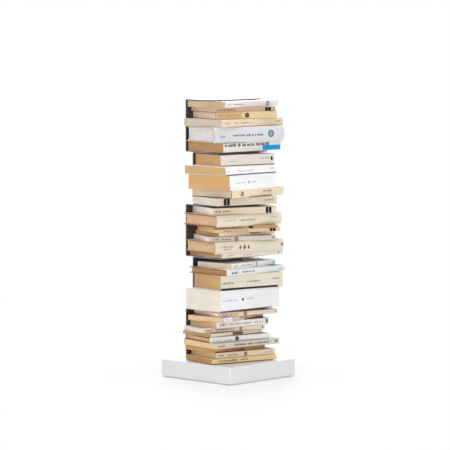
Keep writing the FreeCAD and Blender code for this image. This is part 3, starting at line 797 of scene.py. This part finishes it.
def headband_tree():
    """A stitched roll along a rounded back: a bead whose radius swells at every stitch."""
    tree = Growth("headband", span="Float", rounding="Float", radius="Float", stitches="Int",
                  material="Material")
    given = tree.given
    ends = {0: (0.0, 0.0, 0.0), 1: tree.point(0.0, 0.0, given["span"])}
    line = tree.add("GeometryNodeCurvePrimitiveLine", None, ends)
    points = given["stitches"] * 2 + 1
    core = tree.add("GeometryNodeResampleCurve", None, {"Curve": line, "Count": points})
    z = tree.add("GeometryNodeInputPosition").parts()[2]
    across = z / given["span"] * 2.0 - 1.0
    back = (across * across * across * across - 1.0) * given["rounding"]
    bent = tree.add("GeometryNodeSetPosition", None, {0: core, 3: tree.point(0.0, back, 0.0)})
    number = tree.add("GeometryNodeInputIndex")
    odd = number - (number * 0.5).floor() * 2.0
    swell = given["radius"] * (0.8 + odd * 0.3)
    ring = tree.add("GeometryNodeCurvePrimitiveCircle", None, {"Resolution": 7, "Radius": 1.0})
    inputs = {"Curve": bent, "Profile Curve": ring, "Scale": swell, "Fill Caps": True}
    tree.close(tree.add("GeometryNodeCurveToMesh", None, inputs))
    return tree


# ---------------------------------------------------------------------------------------------
# the books


PLAY = 0.1 * MM  # how far a card cover stands past the leaves
CARD_TO_LEAVES = 0.7 * MM  # from the inside of a card spine to the leaves
CASE_TO_LEAVES = 4.4 * MM  # from the ends of a case's rounded spine to the leaves
LEAF_AIR = 0.04 * MM  # the air between the leaves and both covers
HEADBAND_RADIUS, HEADBAND_SUNK = 1.3 * MM, 0.2 * MM
HEADBAND_BEAD = 1.0 * MM  # the length of one swelling of its roll
ROUNDED_OUT, MOST_ROUNDED = 0.2, 6.0 * MM  # a case's spine: a share of its thickness, and a limit


class Book:
    """A book as the frame has it: its own axes, its sizes and its look. x runs along the spine
    from the head, y in from the spine, and z up."""

    def __init__(self, joint):
        self.name = joint["child"]
        self.number = int(self.name[-2:])
        self.look = LOOKS[self.number - 1]
        self.hard = self.number in HARDBACKS
        outward = Vector(joint["axis"]).normalized()
        along = Vector((-outward.y, outward.x, 0.0))
        inward = -outward
        node = frame["nodes"][self.name]
        places = [(v.co.dot(along), v.co.dot(inward), v.co.z) for v in node.data.vertices]
        low, high = np.min(places, axis=0), np.max(places, axis=0)
        self.length, self.width, self.thickness = (float(s) for s in high - low)
        self.rise = min(ROUNDED_OUT * self.thickness, MOST_ROUNDED) if self.hard else 0.0
        corner = along * float(low[0]) + inward * float(low[1]) + Vector((0, 0, float(low[2])))
        turn = Matrix((along, inward, Vector((0, 0, 1)))).transposed()
        self.matrix = Matrix.Translation(corner) @ turn.to_4x4()

    def leant(self, x, y, z):
        """Where a point lies once the book leans: its upper leaves are slid in at the spine, and
        its lower ones out."""
        slide = self.look.lean * (z / self.thickness - 0.5)
        return x, y + slide * (1 - y / self.width), z


def grown_into(form, mesh, offset, slot):
    """Adds a grown mesh to a form, moved by an offset. Only a headband is smooth."""
    count = len(mesh.vertices)
    points = np.empty(count * 3, np.float32)
    mesh.vertices.foreach_get("co", points)
    points = points.reshape(count, 3) + np.array(offset)
    faces = [tuple(face.vertices) for face in mesh.polygons]
    form.add(points.tolist(), faces, [slot] * len(faces), smooth=slot == SILK)


def finished(book, form, finishes):
    """A book's form as an object whose mesh lies where the book does. Each point keeps its place
    in the book's own axes, from before it leans, in an attribute."""
    name = book.name + "_dressed"
    mesh = bpy.data.meshes.new(name)
    mesh.from_pydata([book.leant(*point) for point in form.points], [], form.faces)
    own = mesh.attributes.new(PLACE, "FLOAT_VECTOR", "POINT")
    own.data.foreach_set("vector", np.array(form.points, np.float32).ravel())
    for finish in finishes:
        mesh.materials.append(finish)
    mesh.polygons.foreach_set("material_index", form.slots)
    mesh.polygons.foreach_set("use_smooth", form.smooth)
    mesh.transform(book.matrix)
    mesh.set_sharp_from_angle(angle=math.radians(32))
    mesh.validate()
    return placed(name, mesh)


def make_book(book, leaf_block, headband):
    form, name = Form(), book.name
    pages = page_edges(name + "_leaves", book)
    finishes = [printed_cover(name + "_print", book), cut_card(name + "_card", book), pages]
    if book.hard:
        form.add(*hardback_case(book))
        skin, square, back = BOARD, SQUARE, book.rise + CASE_TO_LEAVES
    else:
        form.add(*paperback_cover(book))
        skin, square, back = book.look.card, PLAY, book.look.card + CARD_TO_LEAVES
    length, depth = book.length - 2 * square, book.width - square - back
    thick = book.thickness - 2 * skin
    rounding = book.rise * 0.8  # a block's back is a little flatter than its case
    block = leaf_block.grow(length=length, depth=depth, thickness=thick - LEAF_AIR,
                            layers=max(8, round(thick / LAYER)), raggedness=RAGGEDNESS,
                            rounding=rounding, seed=book.number, material=pages)
    middle = [book.length / 2, back + depth / 2, book.thickness / 2]
    grown_into(form, block, middle, LEAVES)
    if book.hard:
        silk = headband_silk(name + "_headband")
        finishes.append(silk)
        for x in (square + HEADBAND_SUNK, book.length - square - HEADBAND_SUNK):
            roll = headband.grow(span=thick, rounding=rounding, radius=HEADBAND_RADIUS,
                                 stitches=round(thick / HEADBAND_BEAD), material=silk)
            grown_into(form, roll, [x, back - HEADBAND_SUNK, skin], SILK)
    piece = finished(book, form, finishes)
    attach(piece, name)
    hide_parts(name)


# ---------------------------------------------------------------------------------------------
# the shelf


SHEET = 2.5 * MM  # the thickness of the modules' sheet


def cut_edges(mesh):
    """1 for each face that is as narrow as the modules' sheet is thick, which makes it a cut edge,
    and 0 for the others. A cut edge takes the paler edge finish: partly worn coat, partly painted
    highlight."""
    flags = []
    for face in mesh.polygons:
        corners = [mesh.vertices[i].co for i in face.vertices]
        outline = sum((a - b).length for a, b in zip(corners, corners[1:] + corners[:1]))
        width = 2 * face.area / outline  # nearly, for a long narrow face
        flags.append(int(abs(width - SHEET) < 0.2 * MM))
    return flags


def folded_sheet(node_name, coat, edge, bevel):
    """A copy of a folded sheet with its faces merged and its edges rounded by hand wear. Its cut and
    rounded edges take a paler finish: partly worn coat, partly painted highlight.
    """
    node = frame["nodes"][node_name]
    mesh = node.data.copy()
    mesh.name = node_name + "_dressed"
    work = bmesh.new()
    work.from_mesh(mesh)
    bmesh.ops.remove_doubles(work, verts=work.verts, dist=0.01 * MM)
    bmesh.ops.dissolve_limit(work, angle_limit=math.radians(0.6), verts=work.verts,
                             edges=work.edges)
    bmesh.ops.recalc_face_normals(work, faces=work.faces)
    work.to_mesh(mesh)
    work.free()
    mesh.materials.clear()
    mesh.materials.append(coat)
    mesh.materials.append(edge)
    mesh.polygons.foreach_set("material_index", cut_edges(mesh))
    mesh.polygons.foreach_set("use_smooth", [True] * len(mesh.polygons))
    mesh.set_sharp_from_angle(angle=math.radians(35))
    piece = placed(node_name + "_dressed", mesh)
    rounding = piece.modifiers.new("rounded_edges", "BEVEL")
    rounding.width = bevel
    rounding.segments = 2
    rounding.limit_method = "ANGLE"
    rounding.angle_limit = math.radians(50)
    rounding.material = 1  # the edge finish: worn coat and painted highlight
    rounding.harden_normals = True
    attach(piece, "shelf")
    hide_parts(node_name)


def dress(node_name, material):
    """Gives a node of the frame its material, and leaves its shape."""
    for slot in frame["nodes"][node_name].material_slots:
        slot.material = material


def make_shelf():
    black = powder_coat("black_powder_coat_finish", (47, 46, 46), 0.34, 0.3, gloss_coat=0.35)
    # The edge finishes are paler than their coats: partly worn coat, partly painted highlight where
    # the edges catch the light.
    black_highlit_edge = worn_and_highlit_edge("black_worn_edge", (105, 104, 102), (143, 141, 138), 0.4)
    white = powder_coat("white_powder_coat_finish", (222, 222, 222), 0.45, 0.03, (211, 210, 207))
    white_highlit_edge = worn_and_highlit_edge("white_worn_edge", (229, 229, 228), (236, 236, 235), 0.45)
    for number in range(1, 6):
        folded_sheet("shelf_module_%d" % number, black, black_highlit_edge, 0.35 * MM)
    folded_sheet("base_cover", white, white_highlit_edge, 1.1 * MM)
    screw_black = plated_steel("blackened_steel_finish", (58, 58, 60), 0.42)
    dress("base_plate", plated_steel("zinc_plate_finish", (178, 182, 184), 0.38))
    dress("base_plate_screws", screw_black)
    dress("column_bolts", screw_black)
    for number in range(1, 5):
        dress("module_screws_%d" % number, screw_black)
    dress("ballast_block", cast_iron("cast_iron_finish"))
    dress("glides", glide_rubber("glide_rubber_finish"))


# ---------------------------------------------------------------------------------------------
# floor, light and camera


FLOOR_REACH = 1.9
SHADOW_REACH = 0.24  # how far out from the middle the floor keeps its shadow in full
FADE = 1.7  # how fast it fades to plain white from there, per metre
LEAST_WHITE = 0.3  # how white the floor is by itself where it keeps its shadow

SKY = 0.42  # how strongly the plain white surroundings light the shelf
AIM = Vector((0.0, 0.0, 0.35))  # what the lamps point at
LAMPS = [  # name, place, width of its square and watts
    ("softbox_above", (0.0, 0.0, 3.4), 3.0, 70.0),
    ("softbox_front", (-2.5, -2.4, 0.8), 1.8, 62.0),
    ("softbox_behind", (2.4, 2.6, 1.7), 2.2, 44.0),
]

CAMERA_TURN = math.radians(-46.5)  # the camera's own x axis on the floor
CAMERA_PITCH = math.atan2(237.0, 2810.0)  # how far it looks down
CAMERA_DISTANCE, CAMERA_SHIFT, CAMERA_HEIGHT = 7.512, -0.00913, 1.043
CAMERA_LENS, CAMERA_SENSOR = 224.8, 36.0


def seen_directly(tree):
    """1 for what the camera sees itself, in a mirror or through glass."""
    path = tree.add("ShaderNodeLightPath", out="Is Camera Ray")
    outputs = path.socket.node.outputs
    glossy = Wire(tree, outputs["Is Glossy Ray"])
    clear = Wire(tree, outputs["Is Transmission Ray"])
    return path.most(glossy).most(clear)


def pale_surface():
    """A matt floor that looks white from any camera and still takes the shelf's shadow."""
    paint = Finish("studio_floor")
    matt = paint.noise(paint.object_place(), 40.0, 2.0)
    paint.done(paint.shade((0.9, 0.9, 0.9), matt.sway(0.02) + 1.0), 0.9)
    glow = paint.add("ShaderNodeEmission", None, {"Color": (1.0, 1.0, 1.0), "Strength": 1.0})
    out_from_middle = paint.object_place().length()
    share = out_from_middle.over(SHADOW_REACH, FADE) * (1 - LEAST_WHITE) + LEAST_WHITE
    seen = seen_directly(paint) * share
    base = Wire(paint, paint.shader.outputs[0])
    both = paint.add("ShaderNodeMixShader", None, {0: seen, 1: base, 2: glow})
    paint.put(paint.tree.nodes["Material Output"].inputs["Surface"], both)
    return paint.material


def make_floor():
    mesh = bpy.data.meshes.new("studio_floor")
    reach = FLOOR_REACH
    corners = [(-reach, -reach, 0), (reach, -reach, 0), (reach, reach, 0), (-reach, reach, 0)]
    mesh.from_pydata(corners, [], [(0, 1, 2, 3)])
    mesh.materials.append(pale_surface())
    floor = placed("studio_floor", mesh)


def make_light():
    world = bpy.data.worlds.new("studio")
    bpy.context.scene.world = world
    world.use_nodes = True
    sky = Tree(world.node_tree)
    back = world.node_tree.nodes["Background"]
    sky.put(back.inputs["Color"], (1.0, 1.0, 1.0))
    sky.put(back.inputs["Strength"], seen_directly(sky) * (1.0 - SKY) + SKY)
    for name, place, size, watts in LAMPS:
        lamp = bpy.data.lights.new(name, "AREA")
        lamp.shape = "SQUARE"
        lamp.size = size
        lamp.energy = watts
        place = Vector(place)
        turn = (AIM - place).to_track_quat("-Z", "Y").to_matrix().to_4x4()
        placed(name, lamp).matrix_world = Matrix.Translation(place) @ turn


def make_camera():
    right = Vector((math.cos(CAMERA_TURN), math.sin(CAMERA_TURN), 0.0))
    level = Vector((-right.y, right.x, 0.0))
    forward = level * math.cos(CAMERA_PITCH) - Vector((0, 0, math.sin(CAMERA_PITCH)))
    up = right.cross(forward)
    lens = bpy.data.cameras.new("camera")
    lens.lens = CAMERA_LENS
    lens.sensor_width = CAMERA_SENSOR
    lens.clip_end = 100.0
    camera = placed("camera", lens)
    place = right * CAMERA_SHIFT - level * CAMERA_DISTANCE + Vector((0, 0, CAMERA_HEIGHT))
    turn = Matrix((right, up, -forward)).transposed().to_4x4()
    camera.matrix_world = Matrix.Translation(place) @ turn
    bpy.context.scene.camera = camera


bpy.context.scene.view_settings.view_transform = "Standard"
make_camera()
make_light()
make_floor()
make_shelf()
leaf_block, headband = leaf_block_tree(), headband_tree()
for joint in frame["joints"]:
    make_book(Book(joint), leaf_block, headband)
